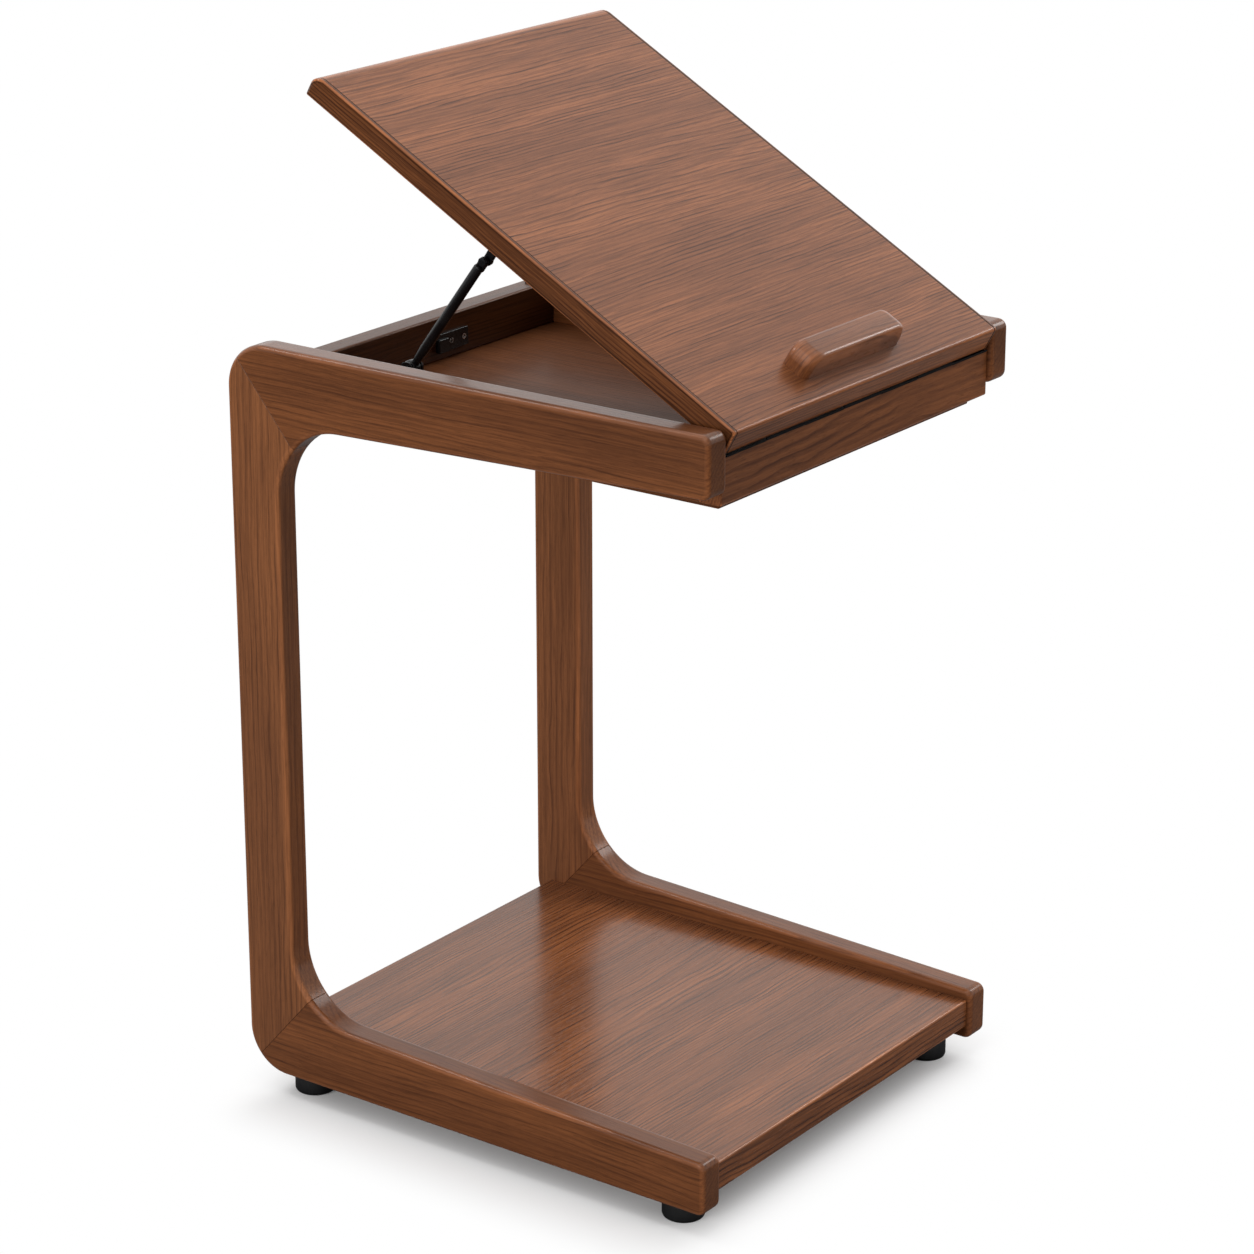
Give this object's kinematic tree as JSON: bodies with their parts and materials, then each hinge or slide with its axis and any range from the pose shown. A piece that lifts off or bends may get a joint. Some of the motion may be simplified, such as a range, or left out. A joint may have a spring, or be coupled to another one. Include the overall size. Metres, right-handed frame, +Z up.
{
  "type": "lift top end table",
  "caption": "C-shaped wooden end table with a low shelf and a shallow tray under a hinged lid; a folding stay props the lid up as a sloped reading or laptop surface.",
  "frame": {"origin": "on the floor, under the middle of the two side frames", "axes": "+X to the right seen from the open front, +Y to the rear legs, +Z up; the lid's hinge and the open end of the C face -Y"},
  "size_m": [0.4, 0.4474, 0.8221],
  "materials": {
    "walnut": "satin lacquered walnut, fine dark grain along each board",
    "tenon_wood": "plain beech, hidden in the joints",
    "black_steel": "satin black coated steel",
    "screw_steel": "zinc plated",
    "black_rubber": "matt black"
  },
  "bodies": {
    "table": {"back_rail": "walnut", "catch": "black_steel", "catch_screws": "screw_steel", "foot_front_left": "black_rubber", "foot_front_right": "black_rubber", "foot_rear_left": "black_rubber", "foot_rear_right": "black_rubber", "foot_screws": "screw_steel", "front_apron": "walnut", "front_batten": "walnut", "hinge_apron_leaf": "black_steel", "hinge_apron_screws": "screw_steel", "hinge_pin": "black_steel", "left_bottom_arm": "walnut", "left_leg": "walnut", "left_top_arm": "walnut", "lid_bumpers": "black_rubber", "mitre_tenons": "tenon_wood", "rear_batten": "walnut", "right_bottom_arm": "walnut", "right_leg": "walnut", "right_top_arm": "walnut", "shelf": "walnut", "shelf_tenons": "tenon_wood", "stay_floor_bracket": "black_steel", "stay_floor_pin": "black_steel", "stay_floor_screws": "screw_steel", "tray_corner_tenons": "tenon_wood", "tray_floor": "walnut", "tray_side_left": "walnut", "tray_side_right": "walnut", "tray_side_tenons": "tenon_wood"},
    "lid": {"lid_panel": "walnut", "lid_lipping_left": "walnut", "lid_lipping_right": "walnut", "book_stop": "walnut", "book_stop_tenon": "tenon_wood", "hinge_lid_leaf": "black_steel", "hinge_lid_screws": "screw_steel", "stay_lid_bracket": "black_steel", "stay_lid_pin": "black_steel", "stay_lid_screws": "screw_steel", "catch_strike": "black_steel", "strike_screw": "screw_steel"},
    "stay_arm": {"stay_arm": "black_steel"},
    "stay_link": {"stay_link": "black_steel"}
  },
  "joints": [
    {"name": "lid_hinge", "type": "hinge", "parent": "table", "child": "lid", "pos_m": [0, -0.2185, 0.6], "axis": [1, 0, 0], "range_deg": [-29, 0]},
    {"name": "stay_arm_pivot", "type": "hinge", "parent": "table", "child": "stay_arm", "pos_m": [-0.1, 0.123, 0.5913], "axis": [1, 0, 0], "range_deg": [0, 58.25]},
    {"name": "stay_link_pivot", "type": "hinge", "parent": "lid", "child": "stay_link", "pos_m": [-0.1, 0.02637, 0.72259], "axis": [1, 0, 0], "range_deg": [-86.79, 0]}
  ],
  "couplings": [
    {"joint": "stay_arm_pivot", "follows": "lid_hinge", "ratio": -2.0078},
    {"joint": "stay_link_pivot", "follows": "lid_hinge", "ratio": 2.9922}
  ]
}
